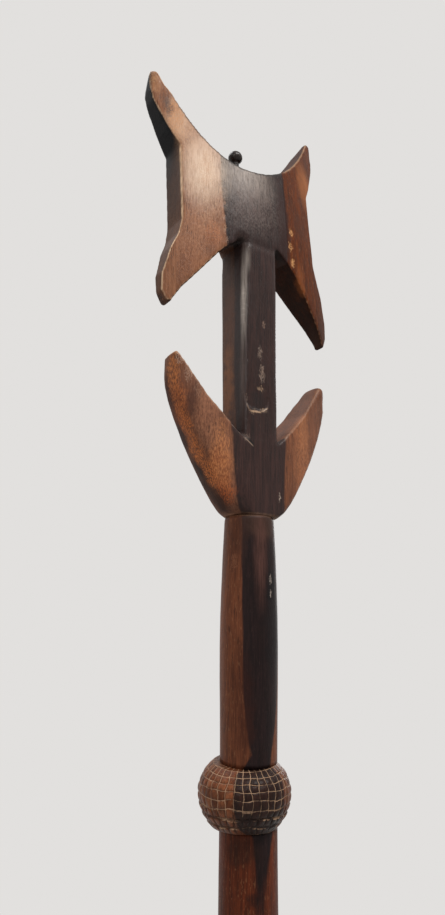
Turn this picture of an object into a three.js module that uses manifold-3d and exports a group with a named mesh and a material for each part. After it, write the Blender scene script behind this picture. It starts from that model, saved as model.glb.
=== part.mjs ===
// A carved wooden prestige staff: a long round shaft, a ball cut with a grid of small raised cells,
// a two-horned crescent, a squarish neck and a four-horned head with a little knobbed peg on top.
// Millimetres. +Z runs up the staff, the front faces -Y, and the origin is the centre of the foot.

import * as THREE from 'three';
import { mergeVertices } from 'three/addons/utils/BufferGeometryUtils.js';
import Module from 'manifold-3d';

const wasm = await Module();
wasm.setup();

// Clearances
const socketGap = 0.3;
const cutOverrun = 6;

// Lengths up the staff, from the foot
const lowerShaftLength = 648;
const ballHeight = 30;
const upperShaftLength = 113;
const crescentBodyHeight = 38.5;
const neckLength = 113;

// Shaft
const shaftFootRadius = 11;
const shaftFootChamfer = 2.5;
const shaftRadius = 13.5;
const shaftTaperLength = 420;
const shaftSwellRadius = 14.2;
const shaftSwellHeight = 48;
const shaftTopRadius = 12.5;
const shaftSides = 40;
const shaftSwellSteps = 6;

// Round tenons
const tenonRadius = 7;
const shaftTenonLength = 24;
const crescentTenonLength = 16;
const neckFootTenonLength = 12;
const neckHeadTenonLength = 24;
const tenonSides = 24;

// Ball with its grid of cells
const ballRadius = 21.9;
const ballEndRadius = 14.8;
const ballOffset = -2.3;
const ballRows = 8;
const ballColumns = 34;
const grooveDepth = 1;
const grooveWidth = 0.9;

// Neck
const neckWidth = 21.6;
const neckFront = 11.8;
const neckFootBack = 11.4;
const neckTopBack = 14.8;
const neckCornerRadius = 3.4;
const neckCornerSteps = 5;

// Crescent
const crescentFront = 12;
const crescentBack = 12.5;
const crescentFrontBow = 9;
const crescentBackBow = 2.5;
const crescentFootRadius = 13;
const crescentHalfWidth = 49.2;
const crescentOffset = 1.2;
const crescentTipHeight = 41.6;
const crescentWidestHeight = 31;
const crescentNotchRise = 44.4;
const crescentNotchTilt = THREE.MathUtils.degToRad(5);
const crescentSides = 64;
// The notch's sides are a little hollow: one point on the way up, as shares of its spread and its rise.
const crescentNotchShares = [0.52, 0.444];
// The side of the bowl, from its foot to its widest place, as shares of the rise and of the spread.
const crescentSideShares = [[0, 0], [0.045, 0.11], [0.12, 0.215], [0.23, 0.345], [0.4, 0.535],
  [0.55, 0.69], [0.7, 0.83], [0.83, 0.93], [0.93, 0.985], [1, 1]];

// Head
const headFront = 12;
const headBack = 16.5;
const headHalfWidth = 45.4;
const headFrontBow = 10.4;
const lowerFrontBow = 8.6;
const headBackBow = 1.5;
const headLeanStart = 8.5;
const headLean = THREE.MathUtils.degToRad(6);
const headBackLean = THREE.MathUtils.degToRad(5.5);
const lowerHornBackSlope = THREE.MathUtils.degToRad(10);
const upperHornBackStart = 94;
const upperHornBackSlope = THREE.MathUtils.degToRad(24);
const headNotchTilt = THREE.MathUtils.degToRad(12);
const headBlockFoot = 4.5;
const headBlockTop = 54;
const saddleHeight = 46;
const saddleOffset = -7;
const saddleTilt = THREE.MathUtils.degToRad(3);
const saddleLeftPower = 2.2;
const saddleRightPower = 2;
const saddleSteps = 20;
const upperTipHalfSpan = 60.2;
const upperTipHeight = 105.5;
const upperTipWidth = 4.6;
const lowerTipHalfSpan = 52.5;
const lowerTipDepth = 45;
const lowerTipWidth = 2.4;
const lowerHornHalfSpan = 56.5;
const lowerHornLeftInset = 1.7;
const bowSteps = 36;
// Horn edges, each from its root to its tip, as shares of its spread and of its rise or drop.
const lowerHornInnerShares = [[0.23, 0.155], [0.4, 0.3], [0.66, 0.585], [0.875, 0.82], [1, 1]];
const lowerHornOuterShares = [[1, 0.86], [1, 0.64], [0.82, 0.48], [0.64, 0.3], [0.3, 0.1]];
const upperHornShares = [[0, 0], [0.34, 0.19], [0.67, 0.43], [0.85, 0.57], [0.95, 0.75], [1, 1]];

// Where the dark heartwood ends and the brown sapwood begins, left and right of the middle
const headHeartLeft = 23;
const headHeartRight = 19;
const crescentHeartLeft = 16.5;
const crescentHeartRight = 15;

// Knobbed peg in the saddle
const pegRadius = 2.2;
const pegDepth = 12;
const pegHeight = 18.5;
const pegFromBack = 2.5;
const pegOffset = -1;
const pegSides = 16;
const knobRadius = 4.3;
const knobSteps = 8;

// Heights of the joints
const ballFoot = lowerShaftLength;
const ballTop = ballFoot + ballHeight;
const crescentFoot = ballTop + upperShaftLength;
const neckFoot = crescentFoot + crescentBodyHeight;
const neckTop = neckFoot + neckLength;

// Where the peg stands: behind the middle of the saddle, on its sloping floor
const pegY = headBack - pegFromBack;
const pegFloor = neckTop + saddleHeight + (pegY + headFront) * Math.tan(saddleTilt);

const finishes = {
  heartwood: { color: 0x2e211d, roughness: 0.42, metalness: 0 },
  sapwood: { color: 0x7a4a2e, roughness: 0.45, metalness: 0 },
  shaftWood: { color: 0x5a3020, roughness: 0.4, metalness: 0 },
  gridWood: { color: 0x644129, roughness: 0.6, metalness: 0 },
  knobWood: { color: 0x17110f, roughness: 0.25, metalness: 0 },
};

// Solids and cuts

function solidOf(geometry) {
  const bare = geometry.clone();
  bare.deleteAttribute('normal');
  bare.deleteAttribute('uv');
  const merged = mergeVertices(bare);
  return new wasm.Manifold(new wasm.Mesh({
    numProp: 3,
    vertProperties: new Float32Array(merged.attributes.position.array),
    triVerts: new Uint32Array(merged.index.array),
  }));
}

function meshOf(name, solid, finish) {
  const { vertProperties, triVerts } = solid.getMesh();
  const geometry = new THREE.BufferGeometry();
  geometry.setAttribute('position', new THREE.BufferAttribute(vertProperties, 3));
  geometry.setIndex(new THREE.BufferAttribute(triVerts, 1));
  geometry.computeVertexNormals();
  const mesh = new THREE.Mesh(geometry, new THREE.MeshStandardMaterial(finishes[finish]));
  mesh.name = name;
  return mesh;
}

function pointsOf(pairs) {
  return pairs.map(([across, up]) => new THREE.Vector2(across, up));
}

// A front-view outline in X and Z, cut right through from the front plane to the back plane.
function slab(outline, front, back) {
  const shape = new THREE.Shape(pointsOf(outline));
  const geometry = new THREE.ExtrudeGeometry(shape, { depth: back - front, bevelEnabled: false });
  geometry.rotateX(Math.PI / 2);
  geometry.translate(0, back, 0);
  return geometry;
}

// A plan in X and Y, standing from one height to another.
function column(plan, bottom, top) {
  const shape = new THREE.Shape(pointsOf(plan));
  const geometry = new THREE.ExtrudeGeometry(shape, { depth: top - bottom, bevelEnabled: false });
  geometry.translate(0, 0, bottom);
  return geometry;
}

// A profile of radius and height, turned about the staff's axis.
function turned(profile, sides) {
  const geometry = new THREE.LatheGeometry(pointsOf(profile), sides);
  geometry.rotateX(Math.PI / 2);
  return geometry;
}

function roundBar(radius, bottom, top, sides) {
  return turned([[0, bottom], [radius, bottom], [radius, top], [0, top]], sides);
}

// Leans a geometry back about a line that runs along X.
function leaned(geometry, angle, y, z) {
  geometry.translate(0, -y, -z);
  geometry.rotateX(-angle);
  geometry.translate(0, y, z);
  return geometry;
}

function rectangle(left, right, low, high) {
  return [[left, low], [right, low], [right, high], [left, high]];
}

// A plan with a bowed front and a bowed back: both fall away from the middle towards the sides.
function bowedPlan(front, frontBow, back, backBow, halfWidth, reach) {
  const plan = [];
  for (let i = 0; i <= bowSteps; i += 1) {
    const x = THREE.MathUtils.lerp(-reach, reach, i / bowSteps);
    plan.push([x, -front + frontBow * (x / halfWidth) ** 2]);
  }
  for (let i = 0; i <= bowSteps; i += 1) {
    const x = THREE.MathUtils.lerp(reach, -reach, i / bowSteps);
    plan.push([x, back - backBow * (x / halfWidth) ** 2]);
  }
  return plan;
}

// Shafts

function makeLowerShaft() {
  const profile = [
    [0, 0],
    [shaftFootRadius - shaftFootChamfer, 0],
    [shaftFootRadius, shaftFootChamfer],
    [shaftRadius, shaftTaperLength],
    [shaftRadius, ballFoot],
    [tenonRadius, ballFoot],
    [tenonRadius, ballTop + shaftTenonLength],
    [0, ballTop + shaftTenonLength],
  ];
  return solidOf(turned(profile, shaftSides));
}

function makeUpperShaft() {
  const profile = [[0, ballTop], [shaftRadius, ballTop]];
  for (let i = 1; i < shaftSwellSteps; i += 1) {
    const turn = (Math.PI / 2) * (i / shaftSwellSteps);
    const rise = shaftSwellHeight * (i / shaftSwellSteps);
    profile.push([THREE.MathUtils.lerp(shaftRadius, shaftSwellRadius, Math.sin(turn)), ballTop + rise]);
  }
  for (let i = 0; i <= shaftSwellSteps; i += 1) {
    const turn = (Math.PI / 2) * (i / shaftSwellSteps);
    const z = THREE.MathUtils.lerp(ballTop + shaftSwellHeight, crescentFoot, i / shaftSwellSteps);
    profile.push([THREE.MathUtils.lerp(shaftTopRadius, shaftSwellRadius, Math.cos(turn)), z]);
  }
  profile.push(
    [tenonRadius, crescentFoot],
    [tenonRadius, crescentFoot + crescentTenonLength],
    [0, crescentFoot + crescentTenonLength],
  );
  const socketTop = ballTop + shaftTenonLength + socketGap;
  const socket = roundBar(tenonRadius + socketGap, ballTop - cutOverrun, socketTop, tenonSides);
  return solidOf(turned(profile, shaftSides)).subtract(solidOf(socket));
}

// Ball. Its side is an arc of an oval that meets the shafts at the end radius.

function ballPoint(row, depth) {
  const endTurn = Math.acos(ballEndRadius / ballRadius);
  const turn = THREE.MathUtils.lerp(-endTurn, endTurn, row / ballRows);
  const halfHeight = ballHeight / 2 / Math.sin(endTurn);
  return [
    (ballRadius - depth) * Math.cos(turn),
    ballFoot + ballHeight / 2 + halfHeight * Math.sin(turn),
  ];
}

function makeGridBall() {
  const cellArc = (2 * ballRadius * Math.acos(ballEndRadius / ballRadius)) / ballRows;
  const lipShare = grooveWidth / 2 / cellArc;
  const profile = [[0, ballFoot]];
  const finFloor = [];
  for (let row = 0; row < ballRows; row += 1) {
    profile.push(ballPoint(row, row === 0 ? 0 : grooveDepth));
    profile.push(ballPoint(row + lipShare, 0));
    profile.push(ballPoint(row + 1 - lipShare, 0));
    finFloor.push(ballPoint(row, grooveDepth));
  }
  profile.push(ballPoint(ballRows, 0), [0, ballTop]);
  finFloor.push(ballPoint(ballRows, grooveDepth));
  let ball = solidOf(turned(profile, ballColumns));
  const reach = ballRadius + cutOverrun;
  const finOutline = [
    [finFloor[0][0], ballFoot - cutOverrun],
    ...finFloor,
    [finFloor[ballRows][0], ballTop + cutOverrun],
    [reach, ballTop + cutOverrun],
    [reach, ballFoot - cutOverrun],
  ];
  for (let columnIndex = 0; columnIndex < ballColumns; columnIndex += 1) {
    const fin = slab(finOutline, -grooveWidth / 2, grooveWidth / 2);
    fin.rotateZ((2 * Math.PI * columnIndex) / ballColumns - Math.PI / 2);
    ball = ball.subtract(solidOf(fin));
  }
  const bore = roundBar(tenonRadius + socketGap, ballFoot - cutOverrun, ballTop + cutOverrun, tenonSides);
  return ball.translate(ballOffset, 0, 0).subtract(solidOf(bore));
}

// Neck: a square bar with rounded corners, deeper at its top, and a round tenon at each end.

function neckPlan(front, back) {
  const plan = [];
  const corners = [[1, back], [-1, back], [-1, -front], [1, -front]];
  corners.forEach(([side, edge], quarter) => {
    const x = side * (neckWidth / 2 - neckCornerRadius);
    const y = edge - Math.sign(edge) * neckCornerRadius;
    for (let i = 0; i <= neckCornerSteps; i += 1) {
      const turn = (Math.PI / 2) * (quarter + i / neckCornerSteps);
      plan.push([x + neckCornerRadius * Math.cos(turn), y + neckCornerRadius * Math.sin(turn)]);
    }
  });
  return plan;
}

function makeNeck() {
  const taper = Math.atan((neckTopBack - neckFootBack) / neckLength);
  const bar = column(neckPlan(neckFront, neckTopBack), neckFoot, neckTop);
  const backFace = column(neckPlan(neckFront + 2 * cutOverrun, neckTopBack),
    neckFoot - cutOverrun, neckTop + cutOverrun);
  const tenon = roundBar(tenonRadius, neckFoot - neckFootTenonLength, neckTop + neckHeadTenonLength,
    tenonSides);
  return solidOf(bar)
    .intersect(solidOf(leaned(backFace, taper, neckTopBack, neckTop)))
    .add(solidOf(tenon));
}

// Crescent: a bowl turned about the axis, flattened front and back, with a notch that leaves two horns.

function crescentHorns() {
  const hornTop = neckFoot + crescentTipHeight;
  const profile = [[0, crescentFoot]];
  crescentSideShares.forEach(([riseShare, spreadShare]) => {
    profile.push([
      THREE.MathUtils.lerp(crescentFootRadius, crescentHalfWidth, spreadShare),
      THREE.MathUtils.lerp(crescentFoot, neckFoot + crescentWidestHeight, riseShare),
    ]);
  });
  profile.push([crescentHalfWidth, hornTop], [0, hornTop]);
  const plan = bowedPlan(crescentFront, crescentFrontBow, crescentBack, crescentBackBow,
    crescentHalfWidth, crescentHalfWidth + cutOverrun);
  const bowl = solidOf(turned(profile, crescentSides)).translate(crescentOffset, 0, 0)
    .intersect(solidOf(column(plan, crescentFoot - cutOverrun, hornTop + cutOverrun)));
  const apex = neckWidth / 2;
  const [midSpread, midRise] = crescentNotchShares;
  const rise = crescentNotchRise + cutOverrun;
  const spread = crescentHalfWidth + (cutOverrun * (crescentHalfWidth - apex)) / crescentNotchRise;
  const notchHalf = [
    [apex, neckFoot],
    [THREE.MathUtils.lerp(apex, crescentHalfWidth, midSpread), neckFoot + crescentNotchRise * midRise],
    [crescentHalfWidth, neckFoot + crescentNotchRise],
    [spread, neckFoot + rise],
  ];
  const notchOutline = [...notchHalf, ...notchHalf.map(([x, z]) => [-x, z]).reverse()];
  const through = crescentBack + cutOverrun;
  const notch = leaned(slab(notchOutline, -through, through), -crescentNotchTilt, -crescentFront, neckFoot);
  const seatWall = neckWidth / 2 + socketGap;
  const seat = slab(rectangle(-seatWall, seatWall, neckFoot, neckFoot + rise), -through, through);
  return bowl.subtract(solidOf(notch)).subtract(solidOf(seat));
}

// Keeps what lies between two upright planes that cross the staff from front to back.
function between(solid, left, right, bottom, top) {
  const reach = Math.max(upperTipHalfSpan, crescentHalfWidth) + cutOverrun;
  return solid.intersect(solidOf(slab(rectangle(left, right, bottom, top), -reach, reach)));
}

function makeCrescent() {
  const horns = crescentHorns();
  const reach = crescentHalfWidth + 2 * cutOverrun;
  const bottom = crescentFoot - cutOverrun;
  const top = neckFoot + crescentTipHeight + cutOverrun;
  const footSocket = roundBar(tenonRadius + socketGap, bottom,
    crescentFoot + crescentTenonLength + socketGap, tenonSides);
  const neckSocket = roundBar(tenonRadius + socketGap, neckFoot - neckFootTenonLength - socketGap,
    neckFoot + cutOverrun, tenonSides);
  return {
    core: between(horns, -crescentHeartLeft, crescentHeartRight, bottom, top)
      .subtract(solidOf(footSocket)).subtract(solidOf(neckSocket)),
    left: between(horns, -reach, -crescentHeartLeft, bottom, top),
    right: between(horns, crescentHeartRight, reach, bottom, top),
  };
}

// Head: a block with a horn at each corner. The front is bowed and leans back above the lower horns.

function headOutline() {
  const half = [
    [lowerTipHalfSpan - lowerTipWidth / 2, neckTop - lowerTipDepth],
    [lowerTipHalfSpan + lowerTipWidth / 2, neckTop - lowerTipDepth],
  ];
  lowerHornOuterShares.forEach(([spreadShare, dropShare]) => {
    half.push([
      THREE.MathUtils.lerp(headHalfWidth, lowerHornHalfSpan, spreadShare),
      neckTop - lowerTipDepth * dropShare,
    ]);
  });
  half.push([headHalfWidth, neckTop + headBlockFoot]);
  upperHornShares.forEach(([spreadShare, riseShare]) => {
    half.push([
      THREE.MathUtils.lerp(headHalfWidth, upperTipHalfSpan, spreadShare),
      neckTop + THREE.MathUtils.lerp(headBlockTop, upperTipHeight, riseShare),
    ]);
  });
  const left = half.map(([x, z]) => [z < neckTop ? lowerHornLeftInset - x : -x, z]).reverse();
  return [...half, ...left];
}

// One side of the notch between the lower horns, from the neck out to a tip and down past it.
function headNotchOutline(tipInset) {
  const apex = neckWidth / 2;
  const innerTip = lowerTipHalfSpan - lowerTipWidth / 2 - tipInset;
  const half = [[apex, neckTop]];
  lowerHornInnerShares.forEach(([spreadShare, dropShare]) => {
    half.push([THREE.MathUtils.lerp(apex, innerTip, spreadShare), neckTop - lowerTipDepth * dropShare]);
  });
  half.push([innerTip, neckTop - lowerTipDepth - 2 * cutOverrun]);
  return [...half, [apex, neckTop - lowerTipDepth - 2 * cutOverrun]];
}

function saddleOutline() {
  const edge = upperTipHalfSpan - upperTipWidth;
  const rise = upperTipHeight - saddleHeight;
  const outline = [];
  for (let i = 0; i <= saddleSteps; i += 1) {
    const x = THREE.MathUtils.lerp(-edge, edge, i / saddleSteps);
    const span = x < saddleOffset ? edge + saddleOffset : edge - saddleOffset;
    const power = x < saddleOffset ? saddleLeftPower : saddleRightPower;
    const share = Math.abs(x - saddleOffset) / span;
    outline.push([x, neckTop + saddleHeight + rise * share ** power]);
  }
  const clear = neckTop + upperTipHeight + cutOverrun;
  outline.push([edge, clear], [-edge, clear]);
  return outline;
}

// The head's front or back face as a column that leans about a height on that face.
function headFace(front, frontBow, back, backBow, lean, pivotY, pivotZ) {
  const reach = upperTipHalfSpan + cutOverrun;
  const bottom = neckTop - lowerTipDepth - 2 * cutOverrun;
  const top = neckTop + upperTipHeight + 2 * cutOverrun;
  const plan = bowedPlan(front, frontBow, back, backBow, headHalfWidth, reach);
  return solidOf(leaned(column(plan, bottom, top), lean, pivotY, pivotZ));
}

function headBlank() {
  const far = upperTipHalfSpan + cutOverrun;
  const upperBack = headBack + upperHornBackStart * Math.tan(headBackLean);
  const leanStart = neckTop + headLeanStart;
  const saddle = leaned(slab(saddleOutline(), -far, far), -saddleTilt, -headFront,
    neckTop + saddleHeight);
  const notchSide = (inset) => solidOf(leaned(slab(headNotchOutline(inset), -far, far),
    -headNotchTilt, -headFront, neckTop));
  const neckSlot = rectangle(-neckWidth / 2, neckWidth / 2, neckTop - far, neckTop);
  return solidOf(slab(headOutline(), -far, far))
    .intersect(headFace(headFront, lowerFrontBow, far, 0, 0, 0, 0))
    .intersect(headFace(headFront, headFrontBow, far, 0, headLean, -headFront, leanStart))
    .intersect(headFace(far, 0, headBack, headBackBow, headBackLean, headBack, neckTop))
    .intersect(headFace(far, 0, headBack, headBackBow, lowerHornBackSlope, headBack, neckTop))
    .intersect(headFace(far, 0, upperBack, headBackBow, -upperHornBackSlope, upperBack,
      neckTop + upperHornBackStart))
    .subtract(solidOf(saddle))
    .subtract(notchSide(0))
    .subtract(notchSide(lowerHornLeftInset).mirror([1, 0, 0]))
    .subtract(solidOf(slab(neckSlot, -far, far)));
}

// Peg: it stands in a hole near the back of the saddle.

function makePeg() {
  const profile = [
    [0, pegFloor - pegDepth],
    [pegRadius, pegFloor - pegDepth],
    [pegRadius, pegFloor + pegHeight],
  ];
  const start = Math.asin(pegRadius / knobRadius);
  const knobMiddle = pegFloor + pegHeight + knobRadius * Math.cos(start);
  for (let i = 1; i <= knobSteps; i += 1) {
    const turn = THREE.MathUtils.lerp(start, Math.PI, i / knobSteps);
    const radius = i === knobSteps ? 0 : knobRadius * Math.sin(turn);
    profile.push([radius, knobMiddle - knobRadius * Math.cos(turn)]);
  }
  return solidOf(turned(profile, pegSides)).translate(pegOffset, pegY, 0);
}

function makeHead() {
  const blank = headBlank();
  const reach = upperTipHalfSpan + 2 * cutOverrun;
  const bottom = neckTop - lowerTipDepth - 2 * cutOverrun;
  const top = neckTop + upperTipHeight + 2 * cutOverrun;
  const socket = roundBar(tenonRadius + socketGap, neckTop - cutOverrun,
    neckTop + neckHeadTenonLength + socketGap, tenonSides);
  const pegHole = roundBar(pegRadius + socketGap, pegFloor - pegDepth, pegFloor + knobRadius, pegSides);
  return {
    core: between(blank, -headHeartLeft, headHeartRight, bottom, top)
      .subtract(solidOf(socket))
      .subtract(solidOf(pegHole).translate(pegOffset, pegY, 0)),
    left: between(blank, -reach, -headHeartLeft, bottom, top),
    right: between(blank, headHeartRight, reach, bottom, top),
  };
}

const crescent = makeCrescent();
const head = makeHead();
const staff = new THREE.Group();
staff.add(
  meshOf('lower_shaft', makeLowerShaft(), 'shaftWood'),
  meshOf('grid_ball', makeGridBall(), 'gridWood'),
  meshOf('upper_shaft', makeUpperShaft(), 'shaftWood'),
  meshOf('crescent_core', crescent.core, 'heartwood'),
  meshOf('crescent_horn_left', crescent.left, 'sapwood'),
  meshOf('crescent_horn_right', crescent.right, 'sapwood'),
  meshOf('neck', makeNeck(), 'heartwood'),
  meshOf('head_core', head.core, 'heartwood'),
  meshOf('head_horns_left', head.left, 'sapwood'),
  meshOf('head_horns_right', head.right, 'sapwood'),
  meshOf('knob_peg', makePeg(), 'knobWood'),
);

export default staff;
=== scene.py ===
# %% [markdown]
# # A carved prestige staff in two-tone wood
# The staff is one long carving: a round shaft, a ball cut with a grid of small cells, a crescent with
# two horns, a squarish neck and a head with four horns. Dark heartwood runs up its front and brown
# sapwood lies on both sides and at the back. This file dresses the plain solids of that staff: it
# makes a rounder, worn copy of each solid and gives it a wood finish made of nodes.
# Every length is in metres, and +Z runs up the staff.

# %% Read the plain solids
import math

import bmesh
import bpy
from mathutils import Matrix, Vector, kdtree, noise


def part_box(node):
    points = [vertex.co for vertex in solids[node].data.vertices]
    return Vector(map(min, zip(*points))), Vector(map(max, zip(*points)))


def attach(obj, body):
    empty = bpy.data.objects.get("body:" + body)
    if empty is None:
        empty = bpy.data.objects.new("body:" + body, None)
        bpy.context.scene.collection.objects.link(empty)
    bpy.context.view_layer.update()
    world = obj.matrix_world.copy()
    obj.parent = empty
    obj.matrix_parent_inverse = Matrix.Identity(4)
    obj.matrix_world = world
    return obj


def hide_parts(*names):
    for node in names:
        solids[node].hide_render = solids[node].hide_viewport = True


MM = 0.001
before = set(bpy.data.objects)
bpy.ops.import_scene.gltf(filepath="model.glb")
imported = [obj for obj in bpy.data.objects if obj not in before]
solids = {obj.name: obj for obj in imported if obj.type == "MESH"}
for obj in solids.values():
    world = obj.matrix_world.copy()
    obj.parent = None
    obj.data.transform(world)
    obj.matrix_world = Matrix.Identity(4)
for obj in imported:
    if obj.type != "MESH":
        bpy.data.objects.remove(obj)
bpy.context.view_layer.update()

# %% [markdown]
# ## Camera
# The picture was taken close by, from the left of the staff's front and from below its head. A camera
# can be aimed with a Track To constraint or turned by hand. Here its three axes are written into its
# matrix, because the eye point and the line of sight are known, and so is the small roll.

# %% Camera
EYE = Vector((-206.0, -289.1, 734.0)) * MM
SIGHT = Vector((0.5312, 0.8115, 0.2435)).normalized()
ROLL = math.radians(0.7)
LENS = 27.54
SENSOR = 36.0


def in_scene(name, data):
    """A new object that holds the data, linked into the scene."""
    item = bpy.data.objects.new(name, data)
    bpy.context.scene.collection.objects.link(item)
    return item


camera_data = bpy.data.cameras.new("camera")
camera_data.lens = LENS
camera_data.sensor_width = SENSOR
camera = in_scene("camera", camera_data)
level = SIGHT.cross(Vector((0, 0, 1))).normalized()
upright = level.cross(SIGHT)
across = level * math.cos(ROLL) + upright * math.sin(ROLL)
up = upright * math.cos(ROLL) - level * math.sin(ROLL)
turn = Matrix((across, up, -SIGHT)).transposed()
camera.matrix_world = Matrix.Translation(EYE) @ turn.to_4x4()
bpy.context.scene.camera = camera
print("camera", round(LENS, 2), "mm, at", [round(c, 3) for c in EYE])

# %% [markdown]
# ## Node helpers
# A wood finish needs a hundred or more nodes. Placing each by hand in code is long and hides the idea,
# so these small helpers add a node or two each and return the output, and a finish reads like a recipe.
# A helper finds the right tree from the outputs that it is given.


# %% Node helpers
def plug(socket, value):
    """Wires an output into a socket, or writes a plain value there."""
    if isinstance(value, bpy.types.NodeSocket):
        socket.id_data.links.new(value, socket)
    else:
        socket.default_value = value


def fill(node, inputs):
    """Plugs a value into each input that is named."""
    for name, value in inputs.items():
        plug(node.inputs[name], value)
    return node


def node_for(kind, *values):
    """A new node in the tree of the first output among the values."""
    outputs = [v for v in values if isinstance(v, bpy.types.NodeSocket)]
    return outputs[0].id_data.nodes.new(kind)


def sum_of(action, first, second=0.0, third=0.0):
    node = node_for("ShaderNodeMath", first, second, third)
    node.operation = action
    return fill(node, {0: first, 1: second, 2: third}).outputs[0]


def times(first, second):
    return sum_of("MULTIPLY", first, second)


def weighted(pairs, total=0.0):
    """The total of several values, each times its weight."""
    for value, weight in reversed(pairs):
        total = sum_of("MULTIPLY_ADD", value, weight, total)
    return total


def swing(share, reach):
    """Turns a share from 0 to 1 into a shift to either side."""
    return times(sum_of("SUBTRACT", share, 0.5), reach)


def vector_of(action, first, second=(0, 0, 0)):
    node = node_for("ShaderNodeVectorMath", first, second)
    node.operation = action
    fill(node, {0: first, 1: second})
    return node.outputs["Value" if action in ("LENGTH", "DOT_PRODUCT") else "Vector"]


def span(value, low, high, to_low=0.0, to_high=1.0):
    """Turns the stretch from low to high into a soft step from to_low to to_high."""
    node = node_for("ShaderNodeMapRange", value)
    node.interpolation_type = "SMOOTHSTEP"
    fill(node, {"Value": value, "From Min": low, "From Max": high, "To Min": to_low, "To Max": to_high})
    return node.outputs["Result"]


def recorded(tree, name):
    """A share that each point of the mesh carries under a name."""
    node = tree.nodes.new("ShaderNodeAttribute")
    node.attribute_name = name
    return node.outputs["Fac"]


def grain(place, stretch, detail=3.0, twist=0.0):
    """Noise whose cells are stretched: the numbers are cells per metre along X, Y and Z."""
    stretched = vector_of("MULTIPLY", place, stretch)
    node = fill(node_for("ShaderNodeTexNoise", place), {
        "Vector": stretched, "Scale": 1.0, "Detail": detail, "Roughness": 0.6, "Distortion": twist})
    return node.outputs["Fac"]


def blended(share, first, second):
    """Mixes two colours."""
    node = node_for("ShaderNodeMix", share, first, second)
    node.data_type = "RGBA"
    return fill(node, {0: share, 6: first, 7: second}).outputs[2]


def colour_of(red, green, blue):
    """A colour written as in a paint program, 0 to 255, for a node."""
    def straight(part):
        part = part / 255
        return part / 12.92 if part <= 0.04045 else ((part + 0.055) / 1.055) ** 2.4

    return (straight(red), straight(green), straight(blue), 1.0)


def painted(colour, mask, strength, tint):
    """Lays a tint over a colour where the mask says, as strongly as the strength says."""
    return blended(times(mask, strength), colour, colour_of(*tint))


print("node helpers ready")

# %% [markdown]
# ## Room
# A pale wall and soft light from a large window high in front. The wall is only a colour: the world
# shows it to camera, mirror and glass rays, and lights the staff with a much dimmer white, so that
# the sides that face away from the window stay dark. The floor is a plain disc, small enough to stay
# out of the main picture.

# %% World
PALE_WALL = (0.76, 0.745, 0.73, 1.0)
ROOM_TINT = (1.0, 0.98, 0.96, 1.0)
ROOM_LIGHT = 0.36

world = bpy.data.worlds.new("room")
bpy.context.scene.world = world
world.use_nodes = True
tree = world.node_tree
tree.nodes.clear()
path = tree.nodes.new("ShaderNodeLightPath")
seen = fill(tree.nodes.new("ShaderNodeBackground"), {"Color": PALE_WALL})
lit = fill(tree.nodes.new("ShaderNodeBackground"), {"Color": ROOM_TINT, "Strength": ROOM_LIGHT})
shown = path.outputs["Is Camera Ray"]
for kind in ("Is Glossy Ray", "Is Transmission Ray"):
    shown = sum_of("MAXIMUM", shown, path.outputs[kind])
blend = fill(tree.nodes.new("ShaderNodeMixShader"), {0: shown, 1: lit.outputs[0], 2: seen.outputs[0]})
fill(tree.nodes.new("ShaderNodeOutputWorld"), {"Surface": blend.outputs[0]})
bpy.context.scene.view_settings.view_transform = "Standard"
print("world: seen", PALE_WALL[:3], "light", ROOM_LIGHT)


# %% Lamps
def window(name, place, aim, width, height, watts, colour):
    """A large soft lamp at one place that faces another."""
    data = bpy.data.lights.new(name, "AREA")
    data.shape = "RECTANGLE"
    data.size = width
    data.size_y = height
    data.energy = watts
    data.color = colour
    lamp = in_scene(name, data)
    lamp.location = place
    lamp.rotation_euler = (Vector(aim) - Vector(place)).to_track_quat("-Z", "Y").to_euler()


HEAD_MIDDLE = (0, 0, 0.95)
window("high_window", (0.13, -1.04, 2.31), HEAD_MIDDLE, 1.25, 0.35, 25, (1.0, 0.98, 0.95))
window("left_window", (-1.15, -0.65, 1.5), HEAD_MIDDLE, 0.3, 0.55, 3.0, (1.0, 0.99, 0.98))
window("right_window", (1.4, 1.05, 1.25), (0, 0, 0.7), 0.8, 0.9, 8, (1.0, 0.99, 0.98))
window("back_window", (-0.34, 0.75, 2.35), (0, 0, 0.8), 0.7, 0.7, 9, (0.97, 0.98, 1.0))

# %% Floor
FLOOR_RADIUS = 1.2
FLOOR_TINT = (0.78, 0.77, 0.75, 1.0)
FLOOR_ROUGHNESS = 0.9

floor_bm = bmesh.new()
bmesh.ops.create_circle(floor_bm, cap_ends=True, segments=96, radius=FLOOR_RADIUS)
floor_mesh = bpy.data.meshes.new("floor")
floor_bm.to_mesh(floor_mesh)
floor_bm.free()
floor = in_scene("floor", floor_mesh)
floor_paint = bpy.data.materials.new("floor paint")
floor_paint.use_nodes = True
fill(floor_paint.node_tree.nodes["Principled BSDF"],
     {"Base Color": FLOOR_TINT, "Roughness": FLOOR_ROUGHNESS})
floor_mesh.materials.append(floor_paint)
print("floor radius", FLOOR_RADIUS)

# %% [markdown]
# ## Where the two woods meet
# In the log, the heartwood is a cylinder round the pith. The pith of this staff lay in front of it, so
# the staff cuts the cylinder's back part: dark in front, brown at the sides and behind. The border
# could be painted, but then it would not run on through edges and horns as it does in real wood.
# Here it is worked out in three dimensions from the distance to the pith. Two curves over the height
# say where the pith stands from side to side and how wide the dark wood is.

# %% Heartwood
PITH_FRONT = -22.6 * MM
BORDER_LOW = 0.56
BORDER_HIGH = 1.05
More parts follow.
